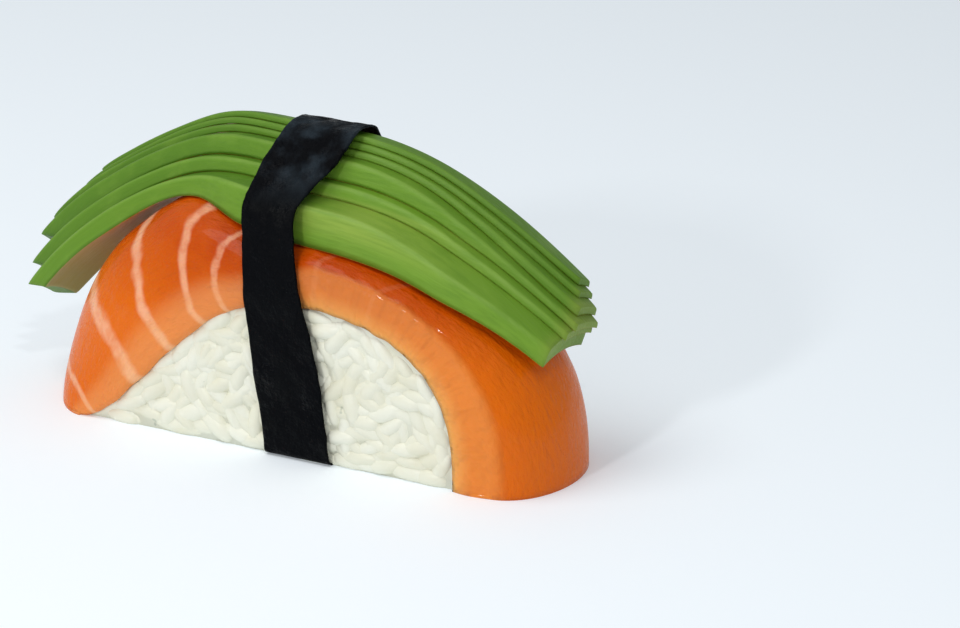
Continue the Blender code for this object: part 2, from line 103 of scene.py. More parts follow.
# Salmon slice: its crest over the middle, and the outer edge of its cut side
CREST_TOP_X = -7.0
CREST_LEFT = 28.3
CREST_RIGHT = 35.6
CREST_HEIGHT = 24.7
CREST_LEFT_ACROSS = 0.62
CREST_LEFT_RISE = 1.22
CREST_RIGHT_ACROSS = 0.95
CREST_RIGHT_RISE = 0.8
CREST_SWELL = 1.4
SWELL_SPANS = ((-9.5, -17.0), (-18.0, -26.0))
SECTION_POWER = 2.0
SECTION_POWER_LEFT = 1.65
SECTION_CHANGE = (math.radians(120), math.radians(160))
SALMON_HALF_WIDTH = 9.2
SALMON_THICKNESS = 4.6
CUT_EDGE_THICKNESS = 4.0
THIN_EDGE_THICKNESS = 1.1
CUT_EDGE_INSET = 0.3
CUT_EDGE_BULGE = 0.28
THIN_EDGE_BULGE = 0.4
EDGE_ROUNDING_POWER = 12
EDGE_WAVES = 0.3
EDGE_WAVE_CLOSENESS = 9.0
EDGE_WAVE_ROWS = (2.0, 3.0)
THIN_EDGE_UNTIL = math.radians(98)
CUT_EDGE_FROM = math.radians(80)
SALMON_COLUMNS = 220
SALMON_ROWS = 90
SALMON_LAYERS = 8
SALMON_STATIONS = 121
SALMON_SHARES = 41
SALMON_WAVE_FROM = 0.4
SALMON_WAVE_DROP = 0.1
SALMON_PALE_RIM = 0.07
SALMON_RIM_STRENGTH = 0.4
SALMON_SIDE_FROM = 0.999

# Low waves of the salmon's skin: height, closeness and seed of each kind
SALMON_WAVES = ((0.1, 0.22, 2), (0.05, 0.6, 5))

# Fat lines: position along the slice, half width and strength of each, then how they bow, wander and blur
FAT_LINES = (
    (84.7, 0.62, 0.85),
    (75.2, 0.7, 0.95),
    (69.8, 0.5, 0.95),
    (64.6, 0.48, 0.85),
    (60.6, 0.38, 0.7),
    (55.5, 0.4, 0.3),
    (47.0, 0.4, 0.12),
    (38.0, 0.4, 0.1),
)
FAT_BOW_ACROSS = 16.7
FAT_BOW_POWER = 1.5
FAT_STRAIGHT = 72.6
FAT_BOW_SPREAD = 57.0
FAT_BOW_LEAST = -0.06
FAT_BOW_MOST = 0.22
FAT_WANDER = 0.5
FAT_WANDER_CLOSENESS = (0.12, 0.16)
FAT_PAINT_WANDER = 1.6
FAT_PAINT_CLOSENESS = 0.22
FAT_PALENESS = 0.8
FAT_CORE = 0.3
FAT_BLUR = 1.5

# Rice ball
RICE_HALF_WIDTH = 8.1
RICE_CORE_SWELL = 0.3
RICE_EDGE_INSET = 0.2
RICE_LEAST_HEIGHT = 0.2
RICE_COLUMNS = 160
RICE_ROWS = 60
GRAIN_LENGTH = 5.6
GRAIN_WIDTH = 2.45
GRAIN_SEGMENTS = 16
GRAIN_RINGS = 10
GRAIN_BLUNTNESS = 0.72
GRAIN_FLATNESS = 0.9
GRAIN_BEND = 0.25
GRAIN_LENGTHS = (0.82, 1.05)
GRAIN_WIDTHS = (0.88, 1.1)
GRAIN_SINKING = (0.12, 0.22)
GRAIN_TIP = math.radians(12)
GRAIN_END = 0.4
GRAIN_END_LOWEST = 0.35
GRAIN_END_MARGIN = 0.45
GRAINS_PER_SIDE = 260
GRAIN_SPACING = 1.2
GRAIN_SEED = 11
GRAIN_TRIES = 9000

# Avocado fan: the arch of its underside, its dome across and the sideways tilt of its left end
SLICE_COUNT = 6
FAN_TOP_X = -10.0
FAN_HEIGHT = 25.15
FAN_LEFT_REACH = 29.6
FAN_RIGHT_REACH = 38.4
FAN_LEFT_DROP = 14.6
FAN_RIGHT_DROP = 12.3
FAN_LEFT_CURVE = 2.46
FAN_RIGHT_CURVE = 3.1
FAN_DOME = 0.0245
FAN_TILT = 0.23
FAN_TILT_Y = -4.0
TILT_SPAN = (-14.0, -32.0)

# Levels of the joints between the slices over the fan's underside. Here and below, three values are for
# the fan's left end, its middle and its right end.
LEVELS_LEFT = (0.0, 2.2, 4.2, 6.45, 7.8, 8.6, 9.4)
LEVELS_MIDDLE = (0.0, 3.8, 5.25, 7.4, 8.1, 8.8, 9.5)
LEVELS_RIGHT = (0.0, 1.75, 2.5, 3.2, 4.1, 4.75, 5.4)
LEVEL_LEFT_SPAN = (-6.0, -36.0)
LEVEL_RIGHT_SPAN = (2.0, 26.0)

# Where the salmon swells under the fan, the lowest slice is thinned from below by this much
UNDERSIDE_LIFT = 1.1
UNDERSIDE_SPANS = ((-9.5, -18.0), (-19.0, -30.0))

# Edges of the slices: a slice's near edge is set back by its level times the set-back
NEAR_EDGE = (-2.2, -6.7, -4.3)
EDGE_LEFT_SPAN = (0.0, -25.0)
EDGE_RIGHT_SPAN = (14.0, 28.0)
SET_BACK = (0.88, 0.93, 1.9)
FAR_EDGE = (4.8, 3.4, 5.5)
FAR_STEP = (0.5, 0.1, 0.5)
SLICE_LEAST_WIDTH = 2.2
SLICE_SLANT = 0.25
FAR_EDGE_BLEND = 0.5

# Tips of the slices, which make uneven steps at both ends of the fan
LEFT_TIPS = (-40.9, -41.5, -41.4, -40.8, -37.0, -35.2)
RIGHT_TIPS = (27.1, 27.6, 28.0, 27.6, 26.8, 26.2)
LEFT_TIP_SLANT = 1.5
RIGHT_TIP_SLANT = 0.4
TIP_LENGTH = 0.11
TIP_INSET = 0.5

# Finer shape of the slices: how far each sinks into what lies under it, its rounded top corner and waves
SLICE_COLUMNS = 200
SLICE_ROWS = 24
SLICE_LAYERS = 10
SLICE_SINK = 0.08
SLICE_TOP_GAP = 0.22
CORNER_RADIUS = 0.4
CORNER_SHARE = 0.6
ROW_POWER = 1.3
EDGE_WANDER = 0.14
EDGE_WANDER_CLOSENESS = (0.11, 2.7)
LEVEL_WANDER = 0.05
LEVEL_WANDER_CLOSENESS = (0.16, 3.1, 0.1)
# Reach and stretch of the painted highlight along each slice's top corner, and reach of the painted shade on
# the tread behind it
RIDGE_HIGHLIGHT_REACH = 0.42
RIDGE_HIGHLIGHT_STRETCH = 0.7
TREAD_SHADE_REACH = 0.5

# Nori band
BAND_THICKNESS = 0.35
BAND_INNER_GAP = 0.1
BAND_OUTER_GAP = 0.02
BAND_FOOT_WIDTH = 8.0
BAND_KNEE_WIDTH = 6.4
BAND_TOP_WIDTH = 8.4
BAND_FOOT_X = -0.6
BAND_KNEE_X = -4.8
BAND_TOP_X = -2.6
BAND_SIDE = 9.15
BAND_SHOULDER_SIDE = 9.75
BAND_SHOULDER_HEIGHT = 20.0
BAND_KNEE_SIDE = 7.6
BAND_KNEE_HEIGHT = 27.2
BAND_RIDGE_Y = 0.2
BAND_RIDGE_HEIGHT = 34.8
BAND_BACK_Y = 4.8
BAND_BACK_HEIGHT = 34.5
BAND_FOOT_RADIUS = 0.8
BAND_SHOULDER_RADIUS = 3.0
BAND_KNEE_RADIUS = 1.5
BAND_RIDGE_RADIUS = 2.0
BAND_BACK_RADIUS = 1.8
BAND_LEAN_POWER = 1.4
BAND_NARROWS_FROM = 8.0
BAND_WIDE_FROM = 32.7
BAND_CORNER_STEPS = 8
BAND_STEP = 0.3
BAND_ROWS = 30

# Folds of the band, and the size, closeness and seed of the two kinds of waves in its long edges
LONG_FOLD_DEPTH = 0.14
LONG_FOLD_CLOSENESS = (0.4, 0.4, 0.2)
SMALL_FOLD_DEPTHS = (0.05, 0.13)
SMALL_FOLD_CLOSENESS = (1.1, 1.3, 0.8)
FOLDS_RISE = (0.5, 3.0)
RAGGED_EDGES = ((0.22, 2.6, 4), (0.12, 9.0, 6))
RAGGED_SIDE_STEP = 4.0

# Screen colours from 0 to 255
SALMON_SIDE = (224, 105, 4)
# Darker red of the salmon's top: partly its own colour, partly painted shade under the avocado fan
SALMON_RED_TOP_AND_SHADE = (184, 63, 1)
SALMON_PATCH = (228, 112, 12)
SALMON_FAT = (244, 184, 146)
SALMON_CUT_EDGE = (246, 172, 92)
SALMON_THIN_EDGE = (247, 186, 120)
# Dark green of the slices' far side, also used as painted shade on the treads
AVOCADO_DARK = (70, 112, 20)
AVOCADO_LEFT = (100, 141, 34)
AVOCADO_RIGHT = (112, 152, 42)
AVOCADO_YELLOW = (150, 174, 72)
# Pale green of the painted highlight on each slice's top corner
AVOCADO_RIDGE_HIGHLIGHT = (134, 166, 78)
AVOCADO_STREAK = (86, 128, 28)
AVOCADO_BLOTCH = (122, 158, 54)
AVOCADO_TIP = (150, 162, 72)
AVOCADO_UNDER_TIP = (150, 150, 76)
# Underside near the salmon: cream flesh, painted more orange for the light the salmon throws back on it
AVOCADO_UNDERSIDE_AND_REFLECTION = (190, 134, 38)
RICE_DULL = (228, 227, 208)
RICE_BRIGHT = (236, 236, 221)
RICE_CLOUD = (222, 217, 188)
RICE_SPECK = (150, 160, 140)
NORI_DARK = (2, 3, 6)
NORI_PALER = (10, 12, 13)
# Bluish grey of the sheen painted on the band's top
NORI_TOP_SHEEN = (44, 54, 62)
FLOOR_DULL = (234, 241, 247)
FLOOR_BRIGHT = (237, 243, 248)

# Where paint changes: heights in metres, then places along, across and over the fan's underside
# First, the heights over which the salmon turns to its darker red top, which is partly painted shade under
# the fan
SALMON_TONE_AND_SHADE_HEIGHTS = (0.012, 0.026)
AVOCADO_TONE_SPAN = (-30.0, 10.0)
YELLOW_LEVELS = ((0.6, 2.6), (3.5, 4.2))
YELLOW_SPANS = ((-8.0, 0.0), (2.0, 24.0))
SHADE_SPAN = (-4.0, 8.0)
BACK_SPAN = (-3.0, 4.0)
RIGHT_TIP_SPAN = (25.5, 28.0)
# Where the underside turns from the tip's colour to the painted orange reflection near the salmon
UNDER_SPAN = (-38.0, -26.0)
UNDER_HEIGHTS = (0.0, 0.02)

# Changes of paint with a noise: its values at both ends, then the colour's share or the roughness there
SALMON_PATCH_FADE = (0.35, 0.75, 0.0, 0.3)
SALMON_UNEVEN_FADE = (0.25, 0.6, 0.55, 1.0)
SALMON_WET_FADE = (0.2, 0.8, 0.22, 0.36)
AVOCADO_STREAK_FADE = (0.35, 0.7, 0.0, 0.4)
AVOCADO_BLOTCH_FADE = (0.5, 0.8, 0.0, 0.4)
AVOCADO_DULL_FADE = (0.2, 0.8, 0.42, 0.62)
RICE_CLOUD_FADE = (0.35, 0.8, 0.0, 0.5)
RICE_SPECK_FADE = (0.72, 0.78, 0.0, 0.45)
RICE_WET_FADE = (0.2, 0.8, 0.32, 0.5)
NORI_PALER_FADE = (0.45, 0.8, 0.0, 0.8)
NORI_SHEEN_FADE = (0.4, 0.7, 0.0, 1.0)
NORI_GLOSS_FADE = (0.48, 0.66, 0.55, 0.2)

# Shares of colours that a piece's own shape places
CUT_EDGE_PALENESS = 0.85
THIN_EDGE_PALENESS = 0.8
YELLOW_SHARE = 0.7
RIDGE_HIGHLIGHT_SHARE = 0.7
SHADE_SHARES = (0.75, 0.15)
BACK_SHARES = (0.0, 0.6)
TIP_SHARES = (0.0, 0.45)
NORI_SHEEN_SHARE = 0.85

# Noises: closeness, or how each coordinate is stretched before it, and detail
CLOUD_ROUGHNESS = 0.55
SALMON_PATCHES = (120.0, 3.0)
SALMON_FINE = (900.0, 4.0)
SALMON_UNEVEN = (0.5, 3.0)
SALMON_LUMPS = (420.0, 2.0)
SALMON_FIBRES = (0.5, 1.6, 0.5)
AVOCADO_STREAKS = (0.09, 1.0, 1.6)
AVOCADO_BLOTCHES = (0.25, 0.4, 0.4)
AVOCADO_FINE = (0.5, 3.0, 3.0)
RICE_CLOUDS = (260.0, 3.0)
RICE_SPECKS = (620.0, 2.0)
RICE_FINE = (1200.0, 3.0)
NORI_PATCHES = (220.0, 4.0)
NORI_WRINKLES = (420.0, 5.0)
NORI_GLOSS = (300.0, 2.0)
FLOOR_TONES = (2.0, 1.0)

# Relief: strength and depth in metres, and the salmon's lumps, which are higher on its pale cut edge
SALMON_RELIEF = (0.6, 0.0005)
SALMON_LUMP_HEIGHTS = (0.8, 5.0)
AVOCADO_RELIEF = (0.3, 0.0002)
RICE_RELIEF = (0.2, 0.0002)
NORI_RELIEF = (0.9, 0.0012)

# Constant settings of each material's surface
SALMON_SURFACE = {
    "Subsurface Weight": 0.18,
    "Subsurface Radius": (1.0, 0.4, 0.12),
    "Subsurface Scale": 0.002,
    "Specular IOR Level": 0.06,
    "Coat Weight": 0.2,
    "Coat Roughness": 0.06,
}
AVOCADO_SURFACE = {
    "Subsurface Weight": 0.15,
    "Subsurface Radius": (0.8, 1.0, 0.3),
    "Subsurface Scale": 0.0012,
    "Specular IOR Level": 0.25,
}
NORI_SURFACE = {"Specular IOR Level": 0.05}
FLOOR_SURFACE = {
    "Roughness": 0.9,
    "Specular IOR Level": 0.1,
    "Emission Color": FLOOR_GLOW_COLOUR,
    "Emission Strength": FLOOR_GLOW,
}


def smooth_step(low, high, value):
    """0 below low, 1 above high, and an even rise between them."""
    t = min(1.0, max(0.0, (value - low) / (high - low)))
    return t * t * (3.0 - 2.0 * t)


def mix(a, b, t):
    """The value a share t of the way from a to b."""
    return a + (b - a) * t


def ripple(x, y, z, seed=0.0):
    """Smooth noise from -1 to 1."""
    return noise.noise(Vector((x, y, z)) + Vector(SEED_STEPS) * seed)


def hump(x, rising, falling):
    """0 outside a stretch of the left half, 1 within it, with even slopes at both ends."""
    return smooth_step(-rising[0], -rising[1], -x) * (1.0 - smooth_step(-falling[0], -falling[1], -x))


def half_arch(angle, reach, height, across, rise):
    """Offset along X and height of an arch's half at an angle from its foot (0) to its top (90 degrees)."""
    x = reach * abs(math.cos(angle)) ** across
    z = height * max(0.0, math.sin(angle)) ** rise
    return x, z


def arch_point(angle, top_x, left, right, height, left_shape, right_shape):
    """Point (X, Z) of an uneven arch, from its right foot (0) over its top to its left foot (180 degrees)."""
    if angle > math.pi / 2:
        x, z = half_arch(angle, left, height, *left_shape)
        return Vector((top_x - x, z))
    x, z = half_arch(angle, right, height, *right_shape)
    return Vector((top_x + x, z))


def rice_arch(angle):
    """Outline of the rice on its long sides."""
    left_shape = (2.0 / ARCH_LEFT_POWER, 2.0 * ARCH_LEFT_FALL)
    right_shape = (2.0 / ARCH_RIGHT_POWER, 2.0 / ARCH_RIGHT_POWER)
    return arch_point(angle, ARCH_TOP_X, ARCH_LEFT, ARCH_RIGHT, ARCH_HEIGHT, left_shape, right_shape)


def crest(angle):
    """Outer outline of the salmon along its middle."""
    left_shape = (CREST_LEFT_ACROSS, CREST_LEFT_RISE)
    right_shape = (CREST_RIGHT_ACROSS, CREST_RIGHT_RISE)
    point = arch_point(angle, CREST_TOP_X, CREST_LEFT, CREST_RIGHT, CREST_HEIGHT, left_shape, right_shape)
    point.y += CREST_SWELL * hump(point.x, *SWELL_SPANS)
    return point


def outward(curve, angle):
    """Unit normal of a curve in the XZ plane, pointing away from the rice."""
    before = curve(max(0.0, angle - CURVE_ANGLE_STEP))
    after = curve(min(math.pi, angle + CURVE_ANGLE_STEP))
    along = after - before
    normal = Vector((along.y, -along.x))
    if along.length == 0.0:
        return Vector((1.0, 0.0))
    return normal.normalized()


def moved_out(curve, angle, distance):
    """Point of a curve moved along its normal, kept on or above the floor."""
    point = curve(angle) + outward(curve, angle) * distance
    if angle <= 0.0 or angle >= math.pi:
        point.y = 0.0
    point.y = max(0.0, point.y)
    return point


def cut_edge_share(angle):
    """1 where the slice ends in a thick cut edge, 0 where it hangs down as a thin edge."""
    return 1.0 - smooth_step(CUT_EDGE_FROM, THIN_EDGE_UNTIL, angle)


def domed(edge_point, crest_point, share, angle):
    """Point between a long side's edge and the crest, for a share of the half width (0 is the middle)."""
    power = mix(SECTION_POWER, SECTION_POWER_LEFT, smooth_step(*SECTION_CHANGE, angle))
    rise = max(0.0, 1.0 - abs(share) ** power) ** (1.0 / power)
    return edge_point + (crest_point - edge_point) * rise


def fan_base(x):
    """Height of the avocado fan's underside along its middle."""
    if x < FAN_TOP_X:
        share = (FAN_TOP_X - x) / FAN_LEFT_REACH
        return FAN_HEIGHT - FAN_LEFT_DROP * share ** FAN_LEFT_CURVE
    share = (x - FAN_TOP_X) / FAN_RIGHT_REACH
    return FAN_HEIGHT - FAN_RIGHT_DROP * share ** FAN_RIGHT_CURVE


def fan_slope_length(x):
    """Height that one unit of thickness takes up where the fan's underside slopes."""
    rise = (fan_base(x + CURVE_X_STEP) - fan_base(x - CURVE_X_STEP)) / (2.0 * CURVE_X_STEP)
    return math.hypot(rise, 1.0)


def along_fan(x, values, left_span, right_span):
    """Value at x from the values for the fan's left end, its middle and its right end."""
    left, middle, right = values
    value = mix(middle, left, smooth_step(-left_span[0], -left_span[1], -x))
    return mix(value, right, smooth_step(*right_span, x))


def joint_level(joint, x):
    """Level of a joint between slices over the fan's underside: joint 0 is the underside itself."""
    values = (LEVELS_LEFT[joint], LEVELS_MIDDLE[joint], LEVELS_RIGHT[joint])
    level = along_fan(x, values, LEVEL_LEFT_SPAN, LEVEL_RIGHT_SPAN)
    return level + UNDERSIDE_LIFT * hump(x, *UNDERSIDE_SPANS) if joint == 0 else level


def slice_thickness(index, x):
    """Free thickness of a slice between its own joint and the next one."""
    return joint_level(index + 1, x) - joint_level(index, x) - SLICE_TOP_GAP


def slice_edges(index, x):
    """Y of a slice's near and far edge."""
    set_back = along_fan(x, SET_BACK, LEVEL_LEFT_SPAN, LEVEL_RIGHT_SPAN)
    near = along_fan(x, NEAR_EDGE, EDGE_LEFT_SPAN, EDGE_RIGHT_SPAN) + set_back * joint_level(index, x)
    plain_far = along_fan(x, FAR_EDGE, LEVEL_LEFT_SPAN, LEVEL_RIGHT_SPAN)
    plain_far += along_fan(x, FAR_STEP, LEVEL_LEFT_SPAN, LEVEL_RIGHT_SPAN) * index
    least_far = near + SLICE_LEAST_WIDTH
    return near, (plain_far + least_far + math.hypot(plain_far - least_far, FAR_EDGE_BLEND)) / 2.0


def fan_point(x, y, level):
    """Point of the fan at a level over its underside."""
    tilt = FAN_TILT * smooth_step(-TILT_SPAN[0], -TILT_SPAN[1], -x) * (y - FAN_TILT_Y)
    lift = level - FAN_DOME * y * y - tilt
    return Vector((x, y, fan_base(x) + lift * fan_slope_length(x)))


def offset_of_row():
    """Drawing-unit shift from the drawing's origin to the row's, found from the salmon's right foot."""
    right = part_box("salmon")[1][0] / UNIT
    return Vector((right - CREST_TOP_X - CREST_RIGHT, 0.0, 0.0))


def linear(colour):
    """Shader colour of a screen colour given as 0 to 255."""
    values = []
    for value in colour:
        share = value / 255.0
        values.append(share / 12.92 if share <= 0.04045 else ((share + 0.055) / 1.055) ** 2.4)
    return (*values, 1.0)


def finished_piece(name, points, faces, shift, paint):
    """Object from points in drawing units, with a smooth surface and named coordinates for its paint."""
    mesh = bpy.data.meshes.new(name)
    mesh.from_pydata([(point + shift) * UNIT for point in points], [], faces)
    for title, values in paint.items():
        layer = mesh.attributes.new(title, "FLOAT_VECTOR", "POINT")
        layer.data.foreach_set("vector", np.array(values, dtype=np.float32).ravel())
    builder = bmesh.new()
    builder.from_mesh(mesh)
    bmesh.ops.remove_doubles(builder, verts=builder.verts[:], dist=MERGE_DISTANCE)
    bmesh.ops.recalc_face_normals(builder, faces=builder.faces[:])
    builder.to_mesh(mesh)
    builder.free()
    mesh.shade_smooth()
    piece = bpy.data.objects.new(name, mesh)
    bpy.context.scene.collection.objects.link(piece)
    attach(piece, "root")
    return piece


def block_faces(columns, rows, layers, corner):
    """Quads of the six sides of a block of cells, whose corners corner(i, j, k) names."""
    faces = []
    for i in range(columns):
        for j in range(rows):
            for k in (0, layers):
                ring = ((i, j, k), (i + 1, j, k), (i + 1, j + 1, k), (i, j + 1, k))
                faces.append(tuple(corner(*cell) for cell in ring))
    for i in range(columns):
        for k in range(layers):
            for j in (0, rows):
                ring = ((i, j, k), (i + 1, j, k), (i + 1, j, k + 1), (i, j, k + 1))
                faces.append(tuple(corner(*cell) for cell in ring))
    for j in range(rows):
        for k in range(layers):
            for i in (0, columns):
                ring = ((i, j, k), (i, j + 1, k), (i, j + 1, k + 1), (i, j, k + 1))
                faces.append(tuple(corner(*cell) for cell in ring))
    return faces


def block_piece(name, columns, rows, layers, place, shift):
    """Closed slab: place(u, v, w) gives a corner's point and its two paint coordinates."""
    numbers = {}
    points = []
    pattern = []
    tone = []

    def corner(i, j, k):
        if (i, j, k) not in numbers:
            numbers[i, j, k] = len(points)
            point, coordinate, shade = place(i / columns, j / rows, k / layers)
            points.append(point)
            pattern.append(coordinate)
            tone.append(shade)
        return numbers[i, j, k]

    faces = block_faces(columns, rows, layers, corner)
    return finished_piece(name, points, faces, shift, {"pattern": pattern, "tone": tone})


def salmon_skin(u, share, top):
    """Point of the salmon's outer skin (top is 1), its underside (0) or between them."""
    angle = math.pi * u
    cut = cut_edge_share(angle)
    wave_row = EDGE_WAVE_ROWS[0] + math.copysign(EDGE_WAVE_ROWS[1], share)
    waves = EDGE_WAVES * ripple(EDGE_WAVE_CLOSENESS * angle, wave_row, 0.5, 9) * math.sin(angle)
    outer_edge = moved_out(rice_arch, angle, CUT_EDGE_THICKNESS * cut + GAP + waves)
    inner_edge = moved_out(rice_arch, angle, GAP / 2.0 + waves)
    outer = domed(outer_edge, crest(angle), share, angle)
    inner = domed(inner_edge, moved_out(crest, angle, -SALMON_THICKNESS), share, angle)
    outer_width = SALMON_HALF_WIDTH - CUT_EDGE_INSET * cut
    inner_width = SALMON_HALF_WIDTH - mix(THIN_EDGE_THICKNESS, CUT_EDGE_INSET, cut)
    rounding = math.sin(math.pi * top) * abs(share) ** EDGE_ROUNDING_POWER
    bulge = CUT_EDGE_BULGE * cut * rounding
    flat = inner.lerp(outer, top) - outward(rice_arch, angle) * THIN_EDGE_BULGE * (1.0 - cut) * rounding
    return Vector((flat.x, share * (mix(inner_width, outer_width, top) + bulge), max(0.0, flat.y)))


def section_share(v):
    """Signed share of the half width for v from 0 to 1, with closer steps at the two edges."""
    return -math.cos(math.pi * v)


def salmon_measures():
    """Tables of the length along the crest and of the distance across from the middle, for the fat lines."""
    shares = [section_share(v) for v in np.linspace(0.0, 1.0, SALMON_SHARES)]
    middle = SALMON_SHARES // 2
    along = [0.0]
    across = []
    before = None
    for u in np.linspace(0.0, 1.0, SALMON_STATIONS):
        row = [salmon_skin(u, share, 1.0) for share in shares]
        if before is not None:
            along.append(along[-1] + (row[middle] - before).length)
        before = row[middle]
        lengths = [0.0]
        for here, after in zip(row, row[1:]):
            lengths.append(lengths[-1] + (after - here).length)
        across.append([length - lengths[middle] for length in lengths])
    return np.array(along), np.array(across)


def fat_line_field(along, across):
    """Where the fat line through a point meets the slice's long side: the lines bow towards the middle."""
    inward = max(0.0, FAT_BOW_ACROSS - abs(across)) ** FAT_BOW_POWER
    meets = (along + FAT_STRAIGHT * inward / FAT_BOW_SPREAD) / (1.0 + inward / FAT_BOW_SPREAD)
    bow = (FAT_STRAIGHT - meets) / FAT_BOW_SPREAD
    return along + min(FAT_BOW_MOST, max(FAT_BOW_LEAST, bow)) * inward


def salmon_waves(along, across):
    """Height of the low waves of the salmon's skin, all of them under its plain surface."""
    total = -SALMON_WAVE_DROP
    for height, closeness, seed in SALMON_WAVES:
        total += height * ripple(along * closeness, across * closeness, 1.0, seed)
    return total


def make_salmon(shift):
    """Salmon slice with rounded edges and low waves between its fat lines."""
    along_table, across_table = salmon_measures()
    stations = np.linspace(0.0, 1.0, SALMON_STATIONS)
    share_steps = np.linspace(0.0, 1.0, SALMON_SHARES)

    def place(u, v, w):
        share = section_share(v)
        point = salmon_skin(u, share, w)
        along = float(np.interp(u, stations, along_table))
        row = across_table[int(round(u * (SALMON_STATIONS - 1)))]
        across = float(np.interp(v, share_steps, row))
        wander = ripple(along * FAT_WANDER_CLOSENESS[0], across * FAT_WANDER_CLOSENESS[1], 3.0)
        field = fat_line_field(along, across) + FAT_WANDER * wander
        if point.z > SALMON_WAVE_FROM:
            point.z += salmon_waves(along, across) * w
        cut = cut_edge_share(math.pi * u)
        pale = SALMON_RIM_STRENGTH * (1.0 - smooth_step(0.0, SALMON_PALE_RIM, 1.0 - abs(share)))
        if abs(share) > SALMON_SIDE_FROM:
            pale = max(1.0 - w, pale)
        return point, (field, across, along), (pale * cut, pale * (1.0 - cut), 0.0)

    piece = block_piece("salmon_slice", SALMON_COLUMNS, SALMON_ROWS, SALMON_LAYERS, place, shift)
    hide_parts("salmon")
    return piece


def corner_inset(below_top, thickness):
    """How far a slice's side is drawn in at a depth below its top, which rounds the corner."""
    radius = min(CORNER_RADIUS, CORNER_SHARE * thickness)
    if below_top >= radius:
        return 0.0
    return radius - math.sqrt(radius ** 2 - (radius - below_top) ** 2)


def make_slice(index, shift):
    """One avocado slice with a rounded upper corner and a slightly uneven edge."""

    def place(u, v, w):
        height = 1.0 - (1.0 - w) ** 2
        left_slant = LEFT_TIP_SLANT * slice_thickness(index, LEFT_TIPS[index])
        right_slant = RIGHT_TIP_SLANT * slice_thickness(index, RIGHT_TIPS[index])
        left = LEFT_TIPS[index] + left_slant * (1.0 - height)
        right = RIGHT_TIPS[index] - right_slant * (1.0 - height)
        x = mix(left, right, u)
        near, far = slice_edges(index, x)
        thickness = slice_thickness(index, x)
        tip = min(1.0, u / TIP_LENGTH, (1.0 - u) / TIP_LENGTH)
        inset = TIP_INSET * (1.0 - math.sqrt(max(0.0, 1.0 - (1.0 - tip) ** 2)))
        below_top = (1.0 - height) * thickness
        inset += corner_inset(below_top, thickness)
        close_x, close_index = EDGE_WANDER_CLOSENESS
        wander = EDGE_WANDER * abs(ripple(x * close_x, index * close_index, 0.5, 1))
        edge = near + SLICE_SLANT * thickness * height
        y = mix(edge + inset + wander, far - inset, v ** ROW_POWER)
        level = joint_level(index, x) + thickness * height - (SLICE_SINK + GAP / 2.0) * (1.0 - height)
        close_x, close_index, close_y = LEVEL_WANDER_CLOSENESS
        waves = ripple(x * close_x, index * close_index + y * close_y, 1.5, 3)
        level += LEVEL_WANDER * height * (waves - 1.0)
        # Paint masks: a painted highlight along the top corner, painted shade on the tread behind it, and the
        # underside
        from_edge = math.hypot((y - edge) * RIDGE_HIGHLIGHT_STRETCH, below_top)
        ridge_highlight = 1.0 - smooth_step(0.0, RIDGE_HIGHLIGHT_REACH, from_edge)
        tread = smooth_step(0.0, TREAD_SHADE_REACH, y - edge) * (1.0 if w >= 1.0 else 0.0)
        under = 1.0 if w <= 0.0 else 0.0
        return fan_point(x, y, level), (x, y, level), (ridge_highlight, max(tread, under), height)

    name = "avocado_slice_%d" % (index + 1)
    piece = block_piece(name, SLICE_COLUMNS, SLICE_ROWS, SLICE_LAYERS, place, shift)
    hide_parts("avocado_%d" % (index + 1))
    return piece


def rounded_corner(before, corner, after, radius):
    """Points of an arc that rounds one corner of an outline."""
    to_before = (before - corner).normalized()
    to_after = (after - corner).normalized()
    start = corner + to_before * radius
    end = corner + to_after * radius
    points = []
    for step in range(BAND_CORNER_STEPS + 1):
        t = step / BAND_CORNER_STEPS
        points.append(start * (1 - t) ** 2 + corner * 2 * t * (1 - t) + end * t ** 2)
    return points


def band_outline():
    """Closed loop (Y, Z) of the band's inner face in even short steps."""
    floor = BAND_THICKNESS
    corners = [
        (Vector((-BAND_SIDE, floor)), BAND_FOOT_RADIUS),
        (Vector((-BAND_SHOULDER_SIDE, BAND_SHOULDER_HEIGHT)), BAND_SHOULDER_RADIUS),
        (Vector((-BAND_KNEE_SIDE, BAND_KNEE_HEIGHT)), BAND_KNEE_RADIUS),
        (Vector((BAND_RIDGE_Y, BAND_RIDGE_HEIGHT)), BAND_RIDGE_RADIUS),
        (Vector((BAND_BACK_Y, BAND_BACK_HEIGHT)), BAND_BACK_RADIUS),
        (Vector((BAND_SHOULDER_SIDE, BAND_SHOULDER_HEIGHT)), BAND_SHOULDER_RADIUS),
        (Vector((BAND_SIDE, floor)), BAND_FOOT_RADIUS),
    ]
    rough = []
    for index, (corner, radius) in enumerate(corners):
        before = corners[index - 1][0]
        after = corners[(index + 1) % len(corners)][0]
        rough += rounded_corner(before, corner, after, radius)
    rough.append(rough[0])
    lengths = [0.0]
    for here, after in zip(rough, rough[1:]):
        lengths.append(lengths[-1] + (after - here).length)
    count = int(lengths[-1] / BAND_STEP)
    places = np.linspace(0.0, lengths[-1], count + 1)[:-1]
    ys = np.interp(places, lengths, [point.x for point in rough])
    zs = np.interp(places, lengths, [point.y for point in rough])
    return [Vector((y, z)) for y, z in zip(ys, zs)]


